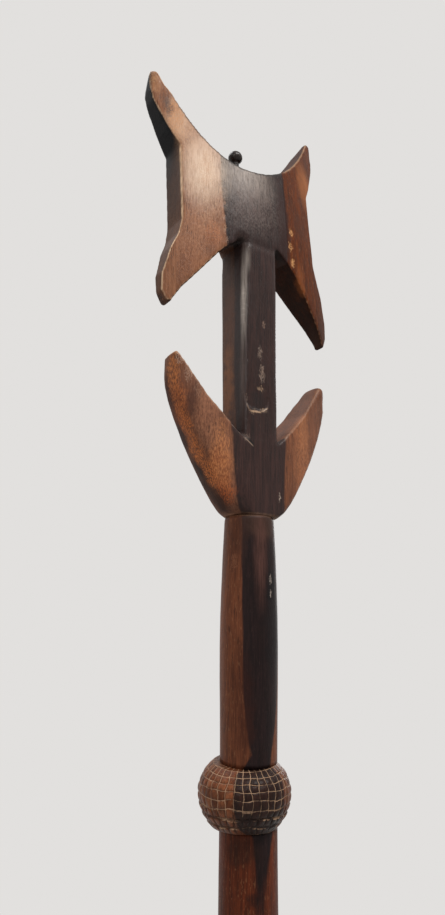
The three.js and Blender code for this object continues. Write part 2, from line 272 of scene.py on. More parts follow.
# Height, pith's place from side to side and radius of the dark wood, all in millimetres
HEARTWOOD = [
    (560, -1.0, 6.0), (608, -5.0, 8.0), (616, -4.9, 9.6), (625, -3.6, 9.7), (634, -3.0, 10.2),
    (647, -2.2, 11.4), (651, -6.4, 13.0), (663, -7.9, 13.4), (675, -7.1, 13.4), (680, -2.9, 11.3),
    (692, -2.5, 13.4), (706, -1.6, 15.2), (720, -0.7, 15.9), (734, 3.4, 18.9), (745, 4.0, 19.7),
    (785, 1.6, 18.6), (800, -1.2, 18.9), (832, -1.2, 20.6), (860, -1.6, 23.0), (935, -1.7, 23.9),
    (977, -2.5, 27.4), (1050, -2.3, 29.3),
]
PITH_SPREAD = 20.0
HEART_SPREAD = 40.0
WANDER = 1.8 * MM
RAGGEDNESS = 1.2 * MM


def along_height(height, points):
    """A curve over the staff's height, from pairs of height and value between 0 and 1."""
    node = node_for("ShaderNodeFloatCurve", height)
    curve = node.mapping.curves[0]
    share = [((z * MM - BORDER_LOW) / (BORDER_HIGH - BORDER_LOW), value) for z, value in points]
    curve.points[0].location = share[0]
    curve.points[1].location = share[-1]
    for pair in share[1:-1]:
        curve.points.new(*pair)
    for point in curve.points:
        point.handle_type = "VECTOR"
    node.mapping.update()
    plug(node.inputs["Value"], height)
    return node.outputs["Value"]


def heartwood(place):
    """The dark wood's share, 0 or 1 with a narrow soft border, and the distance from the pith."""
    parts = node_for("ShaderNodeSeparateXYZ", place)
    plug(parts.inputs[0], place)
    reach = BORDER_HIGH - BORDER_LOW
    height = sum_of("DIVIDE", sum_of("SUBTRACT", parts.outputs["Z"], BORDER_LOW), reach)
    sides = along_height(height, [(z, side / PITH_SPREAD + 0.5) for z, side, _ in HEARTWOOD])
    radii = along_height(height, [(z, radius / HEART_SPREAD) for z, _, radius in HEARTWOOD])
    from_side = sum_of("SUBTRACT", parts.outputs["X"], swing(sides, PITH_SPREAD * MM))
    from_front = sum_of("SUBTRACT", parts.outputs["Y"], PITH_FRONT)
    square = sum_of("MULTIPLY_ADD", from_side, from_side, times(from_front, from_front))
    distance = sum_of("SQRT", square)
    slow = grain(place, (90, 90, 12), detail=2.0)
    quick = grain(place, (700, 700, 45), detail=2.0)
    shift = sum_of("ADD", swing(slow, WANDER), swing(quick, RAGGEDNESS))
    past = sum_of("SUBTRACT", distance, times(radii, HEART_SPREAD * MM))
    edge = sum_of("ADD", past, shift)
    return span(edge, -0.5 * MM, 0.7 * MM, 1.0, 0.0), distance, parts.outputs


print("heartwood border:", len(HEARTWOOD), "heights")

# %% [markdown]
# ## Wood finish
# Old hand-polished wood: fine fibres along the staff, broader bands where the growth rings come out,
# small dark pores, a cloudy brown patina, pale rubbed edges and marks from knocks. All of it reads
# Object coordinates, so it runs on from piece to piece as it does through one log. The shares of wear
# and of soil and painted shade come from attributes that each piece carries, made when its edges are
# rounded. Painted shade also darkens what faces aside or down, and some marks paint sheen, highlights
# and shade.
# A mark is an egg-shaped spot at a place on the staff, broken up by noise so that its edge is rough.


# %% Wood finish
SCRATCH_LEAN = math.radians(38)
STROKE_END = 1.5
HEART_TONES = ((24, 16, 16), (60, 40, 37))
# The last two colours also paint shade: on what faces aside or down, and on rims, grooves and cell
# edges.
PATINA, PORE, DULL_SHADE, SOIL_AND_SHADE = (36, 20, 14), (22, 14, 11), (30, 22, 19), (24, 16, 13)
# For the brown wood and for the dark wood
FLECKS = (colour_of(206, 150, 108), colour_of(104, 82, 74))
RUBBED = (colour_of(236, 200, 164), colour_of(104, 84, 74))


def spot(place, centre, size, core=0.35):
    """1 in the core of an egg-shaped spot and 0 outside it. Millimetres."""
    offset = vector_of("SUBTRACT", place, [c * MM for c in centre])
    share = vector_of("LENGTH", vector_of("DIVIDE", offset, [s * MM for s in size]))
    return span(share, core, 1.0, 1.0, 0.0)


def spotted(colour, place, rows, broken, core=0.35):
    """Lays egg-shaped spots over a colour, each broken up by a mask."""
    for centre, size, tint, strength in rows:
        mask = times(spot(place, centre, size, core), broken)
        colour = painted(colour, mask, strength, tint)
    return colour


def stroke(place, start, end, width):
    """1 on a thin straight line between two points and 0 beside it. Millimetres."""
    along = Vector(end) - Vector(start)
    length = along.length
    along.normalize()
    offset = vector_of("SUBTRACT", place, [c * MM for c in start])
    travelled = vector_of("DOT_PRODUCT", offset, along)
    foot = node_for("ShaderNodeVectorMath", travelled)
    foot.operation = "SCALE"
    fill(foot, {0: along, "Scale": travelled})
    aside = vector_of("LENGTH", vector_of("SUBTRACT", offset, foot.outputs["Vector"]))
    inside = times(span(travelled, 0.0, STROKE_END * MM),
                   span(travelled, (length - STROKE_END) * MM, length * MM, 1.0, 0.0))
    return times(span(aside, 0.3 * width * MM, width * MM, 1.0, 0.0), inside)


def ragged(place, scale, reach):
    """The place, moved about by a noise, so that a spot read there has a ragged outline."""
    node = fill(node_for("ShaderNodeTexNoise", place),
                {"Vector": place, "Scale": scale, "Detail": 4.0, "Roughness": 0.65})
    push = vector_of("SUBTRACT", node.outputs["Color"], (0.5, 0.5, 0.5))
    return vector_of("ADD", place, vector_of("MULTIPLY", push, (reach, reach, reach * 1.6)))


def carved_wood(name, left, right=None, marks=(), stains=(), highlights_and_patches=(), painted_shades=(), rubs=(), lines=(),
                heart=HEART_TONES, polish=0.4, shine=0.22, worn=0.6, grime=0.3, flank_darkness=0.85):
    """Two-tone wood. left and right hold a pale and a deep brown for each side of the staff."""
    material = bpy.data.materials.new(name)
    material.use_nodes = True
    tree = material.node_tree
    tree.nodes.clear()
    place = tree.nodes.new("ShaderNodeTexCoord").outputs["Object"]
    dark, distance, parts = heartwood(place)

    fibre = grain(place, (1200, 1200, 70), detail=4.0)
    band = grain(place, (270, 270, 18), detail=5.0, twist=0.3)
    cloud = grain(place, (42, 42, 20), detail=3.0)
    ring = tree.nodes.new("ShaderNodeTexNoise")
    ring.noise_dimensions = "1D"
    rings = sum_of("ADD", times(distance, 800.0), times(cloud, 6.0))
    fill(ring, {"W": rings, "Scale": 1.0, "Detail": 3.0})
    tone = weighted(((span(fibre, 0.34, 0.66), 0.5), (span(band, 0.36, 0.64), 0.27),
                     (ring.outputs["Fac"], 0.05), (cloud, 0.18)))
    side = span(parts["X"], -14 * MM, 14 * MM)
    pale, deep = [blended(side, colour_of(*one), colour_of(*other))
                  for one, other in zip(left, right or left)]
    core_wood = blended(tone, colour_of(*heart[0]), colour_of(*heart[1]))
    colour = blended(dark, blended(tone, deep, pale), core_wood)

    patina = span(grain(place, (26, 26, 14), detail=4.0), 0.36, 0.68)
    colour = painted(colour, patina, grime, PATINA)
    pore = span(grain(place, (2000, 2000, 150), detail=1.0), 0.58, 0.7)
    colour = painted(colour, pore, 0.5, PORE)
    fleck = span(grain(place, (1500, 1500, 380), detail=2.0), 0.58, 0.7)
    fleck = times(fleck, span(dark, 0.0, 1.0, 0.14, 0.07))
    colour = blended(fleck, colour, blended(dark, *FLECKS))

    # Painted shade and dullness: what faces aside or down is darkened, as shade falls there and as wood
    # that hands miss stays dull.
    flank = recorded(tree, "flank")
    blotch = grain(place, (150, 150, 60), detail=5.0)
    dull_shade = span(blotch, 0.3, 0.65, 0.8 * flank_darkness, flank_darkness)
    colour = painted(colour, flank, dull_shade, DULL_SHADE)
    scuff = sum_of("ADD", grain(place, (420, 420, 90), detail=4.0), 0.35)
    rubbed = span(times(recorded(tree, "wear"), scuff), 0.14, 0.5)
    rubbed = times(rubbed, span(parts["X"], -30 * MM, -20 * MM, worn, worn * 0.3))
    colour = blended(rubbed, colour, blended(dark, *RUBBED))

    loose = ragged(place, 140.0, 8 * MM)
    colour = spotted(colour, loose, stains, span(blotch, 0.25, 0.6, 0.7, 1.0))
    speckle = span(grain(place, (1700, 1700, 600), detail=5.0), 0.4, 0.62, 0.05, 1.1)
    colour = spotted(colour, loose, rubs, speckle)
    for start, end, width, tint, strength in lines:
        colour = painted(colour, stroke(place, start, end, width), strength, tint)
    tight = ragged(place, 520.0, 4 * MM)
    flake = grain(place, (2600, 2600, 1000), detail=5.0)
    flaked = sum_of("MULTIPLY_ADD", flake, 3.0, -1.0)
    relief = 0.0
    for centre, size, tint, strength in marks:
        broken = times(spot(tight, centre, size), flaked)
        mask = times(span(broken, 0.3, 0.65), strength)
        colour = blended(mask, colour, colour_of(*tint))
        relief = sum_of("SUBTRACT", relief, mask)

    smear = grain(place, (60, 60, 9), detail=3.0)
    leant = tree.nodes.new("ShaderNodeVectorRotate")
    leant.rotation_type = "Y_AXIS"
    fill(leant, {"Vector": place, "Angle": SCRATCH_LEAN})
    scratch = span(grain(leant.outputs["Vector"], (2600, 60, 130), detail=2.0), 0.6, 0.7)
    brushed = sum_of("MULTIPLY_ADD", scratch, 0.25, span(fibre, 0.32, 0.68, 0.4, 1.0))
    # Painted sheen and highlights, and a few tinted patches, laid along the brushed fibres.
    colour = spotted(colour, place, highlights_and_patches, brushed, 0.0)
    unrubbed = sum_of("SUBTRACT", 1.0, rubbed)
    # Painted shade on what faces away from the front and is not rubbed.
    colour = spotted(colour, place, painted_shades, times(flank, unrubbed))
    # Soil in hollows, and painted shade on the saddle's front rim and in the ball's grooves, beside its
    # lines and on its top.
    colour = painted(colour, span(recorded(tree, "soil_and_shade"), 0.05, 0.7), 0.7, SOIL_AND_SHADE)
    gloss = weighted(((fibre, 0.14), (smear, 0.16), (scratch, 0.1), (flank, 0.3)), polish - 0.15)
    dimple = grain(place, (520, 520, 300), detail=2.0)
    height = weighted(((fibre, 0.5), (dimple, 1.1), (pore, -0.5), (relief, 1.2), (scratch, -0.45)))
    bump = fill(tree.nodes.new("ShaderNodeBump"),
                {"Height": height, "Strength": 0.45, "Distance": 0.2 * MM})

    shader = fill(tree.nodes.new("ShaderNodeBsdfPrincipled"), {
        "Base Color": colour, "Roughness": gloss, "Normal": bump.outputs["Normal"],
        "Specular IOR Level": shine})
    fill(tree.nodes.new("ShaderNodeOutputMaterial"), {"Surface": shader.outputs["BSDF"]})
    return material


print("wood finish ready")

# %% [markdown]
# ## Marks of use
# Each line is a place on the staff and a size, both in millimetres, a colour from 0 to 255 and a
# strength. Marks are small chips with some depth, stains are soft patches, rubs are speckled where
# the wood was handled, highlights and patches are painted sheen and highlights, and a few tinted
# patches, brushed along the fibres, and painted shades darken only what faces away from the front,
# as shade falls there. A line has two ends and a width instead of a place and a size. Some stains
# and lines are painted shade and highlight too, as said beside them.

# %% Marks
PALE_CHIP = (200, 156, 112)
SOOT = (22, 17, 17)
GREY_CHIP = (170, 132, 110)
BROWN_CHIP = (206, 150, 98)
SHAFT_CHIP = (172, 158, 148)

head_marks = [
    ((-58, 15, 1043), (5, 9, 9), PALE_CHIP, 0.4),
    ((-23.2, -9, 961), (1.6, 4, 4), GREY_CHIP, 0.6),
    ((-23.6, -9, 953), (1.6, 4, 4), GREY_CHIP, 0.7),
    ((-22.9, -9.5, 945), (1.6, 4, 5), (190, 150, 122), 0.7),
    ((-30, -8.5, 940), (9, 5, 14), (196, 124, 84), 0.4),
    ((-44, -4, 915), (8, 6, 18), (84, 48, 36), 0.3),
    ((-32, -7, 932), (8, 6, 12), (92, 54, 40), 0.25),
    ((-34, -7, 985), (12, 8, 30), (206, 140, 92), 0.4),
    ((-48, 4, 1018), (8, 9, 24), (206, 140, 88), 0.5),
    ((-21.8, -9.7, 938), (1.6, 4, 4), GREY_CHIP, 0.6),
    ((23.4, -8.4, 959), (2.6, 4, 5), BROWN_CHIP, 1),
    ((22.2, -10, 949), (2.8, 4, 6), BROWN_CHIP, 1),
    ((23.4, -9.8, 939.5), (2.2, 4, 5.5), BROWN_CHIP, 1),
    ((-53, 8, 901), (5, 10, 5), SOOT, 0.9),
]
# The two large pale patches on the upper left front are wear and also painted sheen. The others are
# stains.
head_stains_and_sheen = [
    ((-37, -5, 992), (17, 10, 40), (208, 166, 134), 0.7),
    ((-47, 2, 1016), (12, 10, 26), (212, 170, 138), 0.7),
    ((-57, 8, 1038), (5, 9, 9), (190, 138, 98), 0.6),
    ((-50.5, 8, 1022), (2.8, 5, 10), (74, 58, 54), 0.7),
    ((-38, -2, 922), (14, 8, 20), (122, 74, 50), 0.4),
    ((33, -6, 970), (9, 6, 16), (70, 36, 18), 0.5),
    ((48, 0, 1004), (17, 13, 26), (166, 100, 54), 0.8),
    ((30, -8, 925), (5, 6, 22), (150, 86, 46), 0.45),
    ((52, 2, 905), (9, 9, 22), (56, 38, 31), 0.6),
    ((-2, -8, 948), (20, 6, 16), (30, 22, 22), 0.5),
    ((17, -9, 963), (7, 6, 40), (46, 22, 17), 0.85),
]
head_rubs = [
    ((-40, -5, 930), (14, 8, 34), (206, 148, 112), 0.22),
    ((-30, -7, 965), (12, 8, 30), (226, 184, 148), 0.2),
    ((-46, 2, 1008), (14, 12, 34), (224, 178, 136), 0.25),
    ((-4, -10, 968), (26, 6, 34), (150, 134, 126), 0.25),
]
# Painted shade: the near-black side of the upper left horn and the side of the block below it.
head_painted_shades = [
    ((-60, 20, 1014), (34, 34, 64), (9, 9, 11), 1.7),
    ((-48, 12, 970), (16, 20, 32), (20, 15, 14), 0.5),
]
# Painted sheen: pale films on the upper left front and on the top of the dark wood, where the high
# window shines.
head_painted_sheens = [
    ((-8, -8, 985), (26, 9, 26), (182, 168, 158), 0.8),
    ((-5, -9, 964), (20, 8, 22), (116, 98, 93), 0.45),
    ((-35, -5, 981), (22, 12, 34), (236, 211, 187), 0.85),
]
neck_marks = [
    ((1, -11.8, 894), (1.8, 3, 4), (142, 112, 94), 0.7),
    ((-1.7, -11.8, 877), (2.4, 3, 7), (132, 110, 96), 0.75),
    ((-0.4, -11.8, 866), (3, 3, 8.5), (146, 122, 106), 0.75),
    ((-1, -11.8, 857.5), (4.4, 3, 2.2), (168, 136, 108), 0.8),
    ((-5.6, -11.8, 844.6), (4.6, 3, 2), (184, 150, 120), 0.5),
    ((0.6, -11.8, 846), (4.6, 3, 2), (178, 144, 114), 0.5),
    ((-4.9, -11.4, 846.2), (2.8, 2.5, 1.4), (16, 11, 10), 0.9),
    ((-9.6, -11.4, 852), (1.2, 3, 9), (112, 90, 78), 0.5),
]
neck_lines = [
    ((-9.6, -10.7, 848.8), (-8.3, -11.6, 844.5), 0.45, (140, 116, 98), 0.6),
    ((-8.2, -11.7, 844.3), (-0.4, -11.8, 844.7), 0.7, (176, 144, 116), 0.85),
    ((-0.6, -11.7, 844.8), (3.8, -11.6, 848.2), 0.65, (166, 134, 108), 0.75),
]
# Painted highlight along the rounded left front corner of the neck, brightest near its top.
neck_painted_highlights = [
    ((-10.9, -9, 908), (3, 3.6, 38), (206, 194, 184), 0.95),
    ((-9.4, -11, 930), (2.6, 2.6, 12), (160, 150, 140), 0.6),
    ((-11, -8.8, 864), (2.8, 3.6, 34), (124, 110, 104), 0.45),
]
neck_stains = [
    ((-12, 5, 862), (3, 9, 30), (150, 96, 58), 0.5),
    ((-12, 5, 905), (3, 9, 34), (92, 54, 34), 0.5),
    ((-12, -5, 890), (2.6, 3.4, 52), (24, 17, 16), 0.6),
    ((-3, -12, 850), (7, 3, 8), (24, 18, 18), 0.5),
]
crescent_marks = [
    ((-45.5, -4, 867), (4.5, 5, 4), (196, 164, 144), 0.6),
    ((-41, -5.6, 860), (3.5, 5, 9), (176, 140, 118), 0.5),
    ((-36, -7.2, 852), (3, 5, 8), (150, 112, 88), 0.45),
    ((10.8, -11.5, 801.4), (1.2, 3, 3.4), (186, 166, 150), 0.9),
    ((-10, -11.4, 830.5), (3, 4, 4), (130, 108, 94), 0.4),
]
crescent_rubs = [
    ((-48, 0, 862), (7, 7, 16), (214, 132, 74), 0.65),
    ((-45, 0.5, 846), (7, 7, 17), (204, 120, 66), 0.5),
    ((-40, 0.5, 833), (7, 7, 16), (200, 116, 62), 0.7),
    ((-33, 0, 820), (8, 7, 15), (204, 118, 62), 0.75),
    ((-26, -3, 809), (8, 7, 13), (204, 118, 62), 0.75),
    ((-19, -7, 801), (7, 6, 10), (180, 92, 46), 0.7),
    ((-24, -9, 816), (9, 6, 28), (206, 136, 86), 0.55),
    ((-32, -8, 838), (9, 6, 24), (176, 120, 88), 0.35),
    ((28, -8, 826), (10, 7, 34), (196, 128, 84), 0.4),
]
# Painted shade and highlight: a dark line and a pale line along the small step where the crescent's
# front meets the neck.
crescent_step_shade_and_highlight = [
    ((-22, -10.3, 840), (-5.4, -12, 826.3), 0.9, (20, 15, 15), 0.9),
    ((-19, -10.7, 835.9), (-5.6, -12.1, 825.5), 0.45, (176, 150, 130), 0.55),
]
# Painted shade: the near-black patches on the left horn's outer side and under the crescent's foot. The
# rest are stains.
crescent_stains_and_shade = [
    ((-45, 3, 838), (12, 12, 36), (104, 50, 26), 0.6),
    ((-45, 6.5, 850), (6, 5, 18), (44, 22, 14), 0.85),
    ((-37, 8, 829), (8, 6, 16), (40, 20, 13), 0.85),
    ((-40, -4, 842), (4, 4, 14), (66, 36, 26), 0.5),
    ((-24, -8, 810), (9, 6, 22), (160, 86, 46), 0.5),
    ((-29, 6, 806), (14, 12, 18), (30, 14, 9), 0.9),
    ((-20, 1, 797), (12, 10, 9), (34, 15, 10), 0.8),
    ((-46, 15, 832), (10, 9, 34), (36, 20, 14), 0.8),
    ((-37, -6, 848), (5, 6, 16), (70, 42, 32), 0.4),
    ((30, -8, 840), (6, 6, 18), (164, 104, 66), 0.45),
    ((42, 6, 845), (8, 10, 22), (80, 56, 46), 0.75),
]
# A painted highlight: a pale line round the crescent's foot, laid over the shade under its step. The
# shaft also gets a purple-brown patch on the dark wood under the crescent.
foot_ring_highlights = [((0, 0, 791.4), (24, 24, 1.6), (170, 130, 102), 0.7)]
shaft_highlights_and_patch = foot_ring_highlights + [((-2.2, -13, 773), (5.5, 5, 36), (104, 70, 62), 0.75)]
shaft_marks = [
    ((3.5, -13.2, 759.5), (1.2, 3, 4), SHAFT_CHIP, 0.9),
    ((3.3, -13.4, 753), (1.2, 3, 3.4), SHAFT_CHIP, 0.9),
    ((-12.4, -4.7, 768), (2.4, 4, 7), (150, 100, 72), 0.35),
    ((0, 0, 3), (13, 13, 6), (92, 66, 48), 0.6),
]
shaft_stains = [
    ((3, -13, 757), (6, 6, 13), (16, 13, 15), 0.85),
    ((-6.4, -11.9, 620.7), (4, 5, 4.4), SOOT, 0.5),
    ((4, -12, 735), (9, 7, 30), (18, 16, 18), 0.6),
    ((0, -12, 788), (14, 10, 14), (104, 74, 60), 0.3),
    ((-11, -7, 782), (5, 7, 22), (58, 34, 26), 0.5),
    ((-9, -10, 690), (6, 6, 14), (58, 30, 22), 0.45),
    ((-8, -8, 640), (12, 10, 9), (40, 24, 18), 0.6),
    ((-11, -9, 704), (8, 8, 32), (56, 26, 18), 0.4),
    ((0, 0, 8), (16, 16, 26), (44, 28, 20), 0.7),
]
print("marks:", len(head_marks + neck_marks + crescent_marks + shaft_marks))

# %% Finishes
SHAFT_HEART = ((18, 13, 14), (42, 28, 28))

head_wood = carved_wood("head wood", ((158, 108, 78), (112, 70, 48)), ((120, 62, 30), (64, 32, 16)),
                        head_marks, head_stains_and_sheen, head_painted_sheens, head_painted_shades, head_rubs, polish=0.34,
                        shine=0.13, worn=1.0, grime=0.15, flank_darkness=0.9)
right_wood = carved_wood("right head wood", ((116, 54, 14), (54, 23, 5)), marks=head_marks,
                         stains=head_stains_and_sheen, polish=0.46, shine=0.08, worn=0.9, grime=0.25,
                         flank_darkness=0.92)
neck_wood = carved_wood("neck wood", ((100, 62, 42), (62, 38, 27)), marks=neck_marks,
                        stains=neck_stains, highlights_and_patches=neck_painted_highlights, lines=neck_lines,
                        heart=((27, 15, 14), (62, 38, 33)), polish=0.3, shine=0.25, worn=0.2,
                        grime=0.2, flank_darkness=0.35)
crescent_wood = carved_wood("crescent wood", ((142, 94, 70), (92, 54, 38)),
                            ((142, 87, 58), (88, 50, 31)), crescent_marks, crescent_stains_and_shade,
                            foot_ring_highlights, rubs=crescent_rubs, lines=crescent_step_shade_and_highlight,
                            heart=((28, 17, 16), (66, 42, 38)), polish=0.42, worn=0.32, grime=0.25,
                            flank_darkness=0.35)
shaft_wood = carved_wood("shaft wood", ((130, 76, 50), (70, 38, 26)), marks=shaft_marks,
                         stains=shaft_stains, highlights_and_patches=shaft_highlights_and_patch, heart=SHAFT_HEART, polish=0.42,
                         shine=0.11, worn=0.3, grime=0.35)
low_wood = carved_wood("lower shaft wood", ((110, 51, 28), (55, 24, 14)),
                       ((122, 58, 34), (64, 29, 17)), shaft_marks, shaft_stains, heart=SHAFT_HEART,
                       polish=0.42, shine=0.09, worn=0.3, grime=0.4)
print("finishes:", [m.name for m in bpy.data.materials])

# %% [markdown]
# ## Blank of the head, neck and crescent
# These are one carving, so no seam may show between them. Seven separate solids with bevels would show
# a line at each joint. Instead all seven are joined and remeshed into one skin, which drops the faces
# inside. The skin is rounded as a whole, and only then is it divided again at the joints.
# Above the neck the head's front starts to lean back. The plain solid has a fold there and the real
# wood a slow roll, so the points near the fold are moved onto a curve.


# %% Join and remesh
MERGE = 0.001 * MM
VOXEL = 0.7 * MM
HEAD_NODES = ["head_core", "head_horns_left", "head_horns_right"]
CRESCENT_NODES = ["crescent_core", "crescent_horn_left", "crescent_horn_right"]


def copy_of(names):
    """The named solids in one bmesh, each with its loose triangles merged first."""
    joined = bmesh.new()
    for name in names:
        single = bmesh.new()
        single.from_mesh(solids[name].data)
        bmesh.ops.remove_doubles(single, verts=single.verts, dist=MERGE)
        mesh = bpy.data.meshes.new(name + " copy")
        single.to_mesh(mesh)
        single.free()
        joined.from_mesh(mesh)
        bpy.data.meshes.remove(mesh)
    return joined


def skinned(joined, voxel):
    """One closed skin of small even squares round everything in the bmesh."""
    mesh = bpy.data.meshes.new("blank")
    joined.to_mesh(mesh)
    joined.free()
    blank = in_scene("blank", mesh)
    remesh = blank.modifiers.new("skin", "REMESH")
    remesh.mode = "VOXEL"
    remesh.voxel_size = voxel
    evaluated = blank.evaluated_get(bpy.context.evaluated_depsgraph_get())
    skin_mesh = bpy.data.meshes.new_from_object(evaluated)
    skin = bmesh.new()
    skin.from_mesh(skin_mesh)
    bpy.data.objects.remove(blank)
    bpy.data.meshes.remove(mesh)
    bpy.data.meshes.remove(skin_mesh)
    return skin


carving = skinned(copy_of(HEAD_NODES + CRESCENT_NODES + ["neck"]), VOXEL)
print("skin faces:", len(carving.faces))

# %% Ease the bend of the head's front
BEND_HEIGHT = 951.0
BEND_BOW = 0.00857
BEND_REACH = 26.0
BEND_SLOPE = math.tan(math.radians(6))
FRONT_FACING = -0.6
NECK_SIDE, NECK_TOP = 12 * MM, 938 * MM

carving.normal_update()
eased = 0
for vertex in carving.verts:
    bend = BEND_HEIGHT - BEND_BOW * (vertex.co.x / MM) ** 2
    off = abs(vertex.co.z / MM - bend) / BEND_REACH
    on_neck = abs(vertex.co.x) <= NECK_SIDE and vertex.co.z <= NECK_TOP
    if off < 1 and vertex.normal.y < FRONT_FACING and not on_neck:
        vertex.co.y += BEND_SLOPE * BEND_REACH * MM * (1 - off) ** 2 / 4
        eased += 1
carving.normal_update()
print("eased points:", eased)

# %% [markdown]
# ## Round the edges
# Years of handling round every edge and leave it paler. Smoothing does the same: it moves edges in and
# hollows out. How far each point moved inwards is kept as its wear, and outwards as its soil. Edges
# that face down are touched less.

# %% Round and record the wear
FULL_WEAR = 0.4 * MM
DOWN_SHELTER = 1.3
SETTLE_ROUNDS, EDGE_ROUNDS = 3, 7


def clamped(share):
    return min(max(share, 0.0), 1.0)


def smoothed(bm, points, rounds):
    for _ in range(rounds):
        bmesh.ops.smooth_vert(bm, verts=points, factor=0.5, use_axis_x=True, use_axis_y=True,
                              use_axis_z=True)
    bm.normal_update()


def rounded(bm, settle, rounds):
    """Settles the ripples of a new skin, then keeps what more smoothing takes off as wear and fills
    in as soil."""
    smoothed(bm, bm.verts, settle)
    before = [v.co.copy() for v in bm.verts]
    smoothed(bm, bm.verts, rounds)
    wear = bm.verts.layers.float.new("wear")
    soil_and_shade = bm.verts.layers.float.new("soil_and_shade")
    for vertex, start in zip(bm.verts, before):
        moved = (start - vertex.co).dot(vertex.normal) / FULL_WEAR
        facing_down = max(-vertex.normal.z, 0.0)
        vertex[wear] = clamped(moved * (1 - DOWN_SHELTER * facing_down))
        vertex[soil_and_shade] = clamped(-moved)


rounded(carving, SETTLE_ROUNDS, EDGE_ROUNDS)
worn_layer = carving.verts.layers.float["wear"]
print("worn points:", sum(1 for v in carving.verts if v[worn_layer] > 0.3))

# %% [markdown]
# ## Softer places
# A few places are worn much rounder than the rest: the tips of the horns, the front corners of the
# crescent's outer sides and of the neck, and the throat behind the neck's top. Smoothing only the
# points near such a place keeps the other edges crisp. A tip is swollen a little first, because
# smoothing draws it in. Shrinking the reach in steps lets a soft place run out gently. How far a point
# then faces to the side or down is kept as its flank. Hands rub the front and the rest stays dull and
# dark, and the flank also paints shade on what faces aside or down. Edges at the back are worn less,
# and painted shade darkens the front rim of the saddle between the upper horns.

# %% Soften
NOTCH_FOOT, NOTCH_BEND = (11, 829.5), (31, 849.2)
NOTCH_SLOPE, HORN_SLOPE = 0.98, 1.36
# Place of each tip, how far round it the skin swells and how much, all in millimetres
TIP_SWELLS = (((50, 2, 870), 14, 1.1), ((60, 6, 1046), 13, 0.8), ((-60, 12, 1046), 13, 0.5))
CRESCENT_TIP_SIDE, CRESCENT_TIP_LOW, CRESCENT_TIP_HIGH = 42 * MM, 862 * MM, 880 * MM
HEAD_TIP_SIDE, HEAD_TIP_LOW = 52 * MM, 1038 * MM
CREASE_SIDE, CREASE_BACK, CREASE_CLEAR = -15 * MM, 2 * MM, 5
BAR_SIDE, BAR_LOW, BAR_HIGH, RIDGE_WIDTH = 13 * MM, 844 * MM, 942 * MM, 1.6 * MM
THROAT_SIDE, THROAT_BACK, THROAT_LOW, THROAT_HIGH = 15 * MM, 12 * MM, 932 * MM, 952 * MM
TIP_ROUNDS, CREASE_ROUNDS, RIDGE_ROUNDS, THROAT_ROUNDS = 16, 80, 34, 40


def swollen(bm, centre, reach, amount):
    """Moves the points near a place outwards, most in its middle. Millimetres."""
    middle = Vector(centre) * MM
    for vertex in bm.verts:
        share = (vertex.co - middle).length / (reach * MM)
        if share < 1:
            vertex.co += vertex.normal * amount * MM * (1 - share * share) ** 2
    bm.normal_update()


def below_notch(point, clear):
    """Whether a point lies this much below the crescent's notch or more. Millimetres."""
    aside = abs(point.x) / MM
    if aside < NOTCH_BEND[0]:
        edge = NOTCH_FOOT[1] + NOTCH_SLOPE * (aside - NOTCH_FOOT[0])
    else:
        edge = NOTCH_BEND[1] + HORN_SLOPE * (aside - NOTCH_BEND[0])
    return point.z / MM < edge - clear


def finder(points):
    """A search tree for the nearest of some points."""
    tree = kdtree.KDTree(len(points))
    for number, vertex in enumerate(points):
        tree.insert(vertex.co, number)
    tree.balance()
    return tree


def softened(bm, chosen, reaches, rounds, back=math.inf, clear=-math.inf):
    """Smooths round the chosen points, first as far as the widest reach and last as far as the least.
    Points behind the limit stay, and so do points nearer below the notch than the clearance."""
    tree = finder(chosen)
    for reach in reaches:
        near = [v for v in bm.verts if v.co.y < back * MM and tree.find(v.co)[2] < reach * MM
                and below_notch(v.co, clear)]
        smoothed(bm, near, rounds)


for centre, reach, amount in TIP_SWELLS:
    swollen(carving, centre, reach, amount)
tips = [v for v in carving.verts if v[worn_layer] > 0.2
        and ((v.co.x > CRESCENT_TIP_SIDE and CRESCENT_TIP_LOW < v.co.z < CRESCENT_TIP_HIGH)
             or (abs(v.co.x) > HEAD_TIP_SIDE and v.co.z > HEAD_TIP_LOW))]
softened(carving, tips, (5, 3.5, 2), TIP_ROUNDS)
crease = [v for v in carving.verts if v[worn_layer] > 0.15 and v.co.y < CREASE_BACK
          and v.co.x < CREASE_SIDE and below_notch(v.co, CREASE_CLEAR)]
softened(carving, crease, (12, 10, 8, 6), CREASE_ROUNDS, back=6.0, clear=2.5)
for vertex in crease:
    vertex[worn_layer] = 0.0
bar = [v for v in carving.verts if abs(v.co.x) < BAR_SIDE and BAR_LOW < v.co.z < BAR_HIGH]
corner = min(v.co.x + v.co.y for v in bar)
ridge = [v for v in bar if v.co.x + v.co.y < corner + RIDGE_WIDTH]
softened(carving, ridge, (5, 4, 3), RIDGE_ROUNDS)
throat = [v for v in carving.verts if v.co.y > THROAT_BACK and abs(v.co.x) < THROAT_SIDE
          and THROAT_LOW < v.co.z < THROAT_HIGH]
smoothed(carving, throat, THROAT_ROUNDS)
print("softened:", len(tips), "tip points", len(crease), "crease points", len(ridge), "ridge points")

# %% Record the flanks
ASIDE_START, ASIDE_REACH, ASIDE_SHARE = 0.7, 0.4, 0.75
BELOW_START, BELOW_REACH = 0.22, 0.3
BACK_SHELTER = 0.6
SADDLE_LOW = 960 * MM
SHADED_RIM_LEFT, SHADED_RIM_RIGHT, SHADED_RIM_FADE, SHADED_RIM_REACH = -52.0, 24.0, 10.0, 1.7

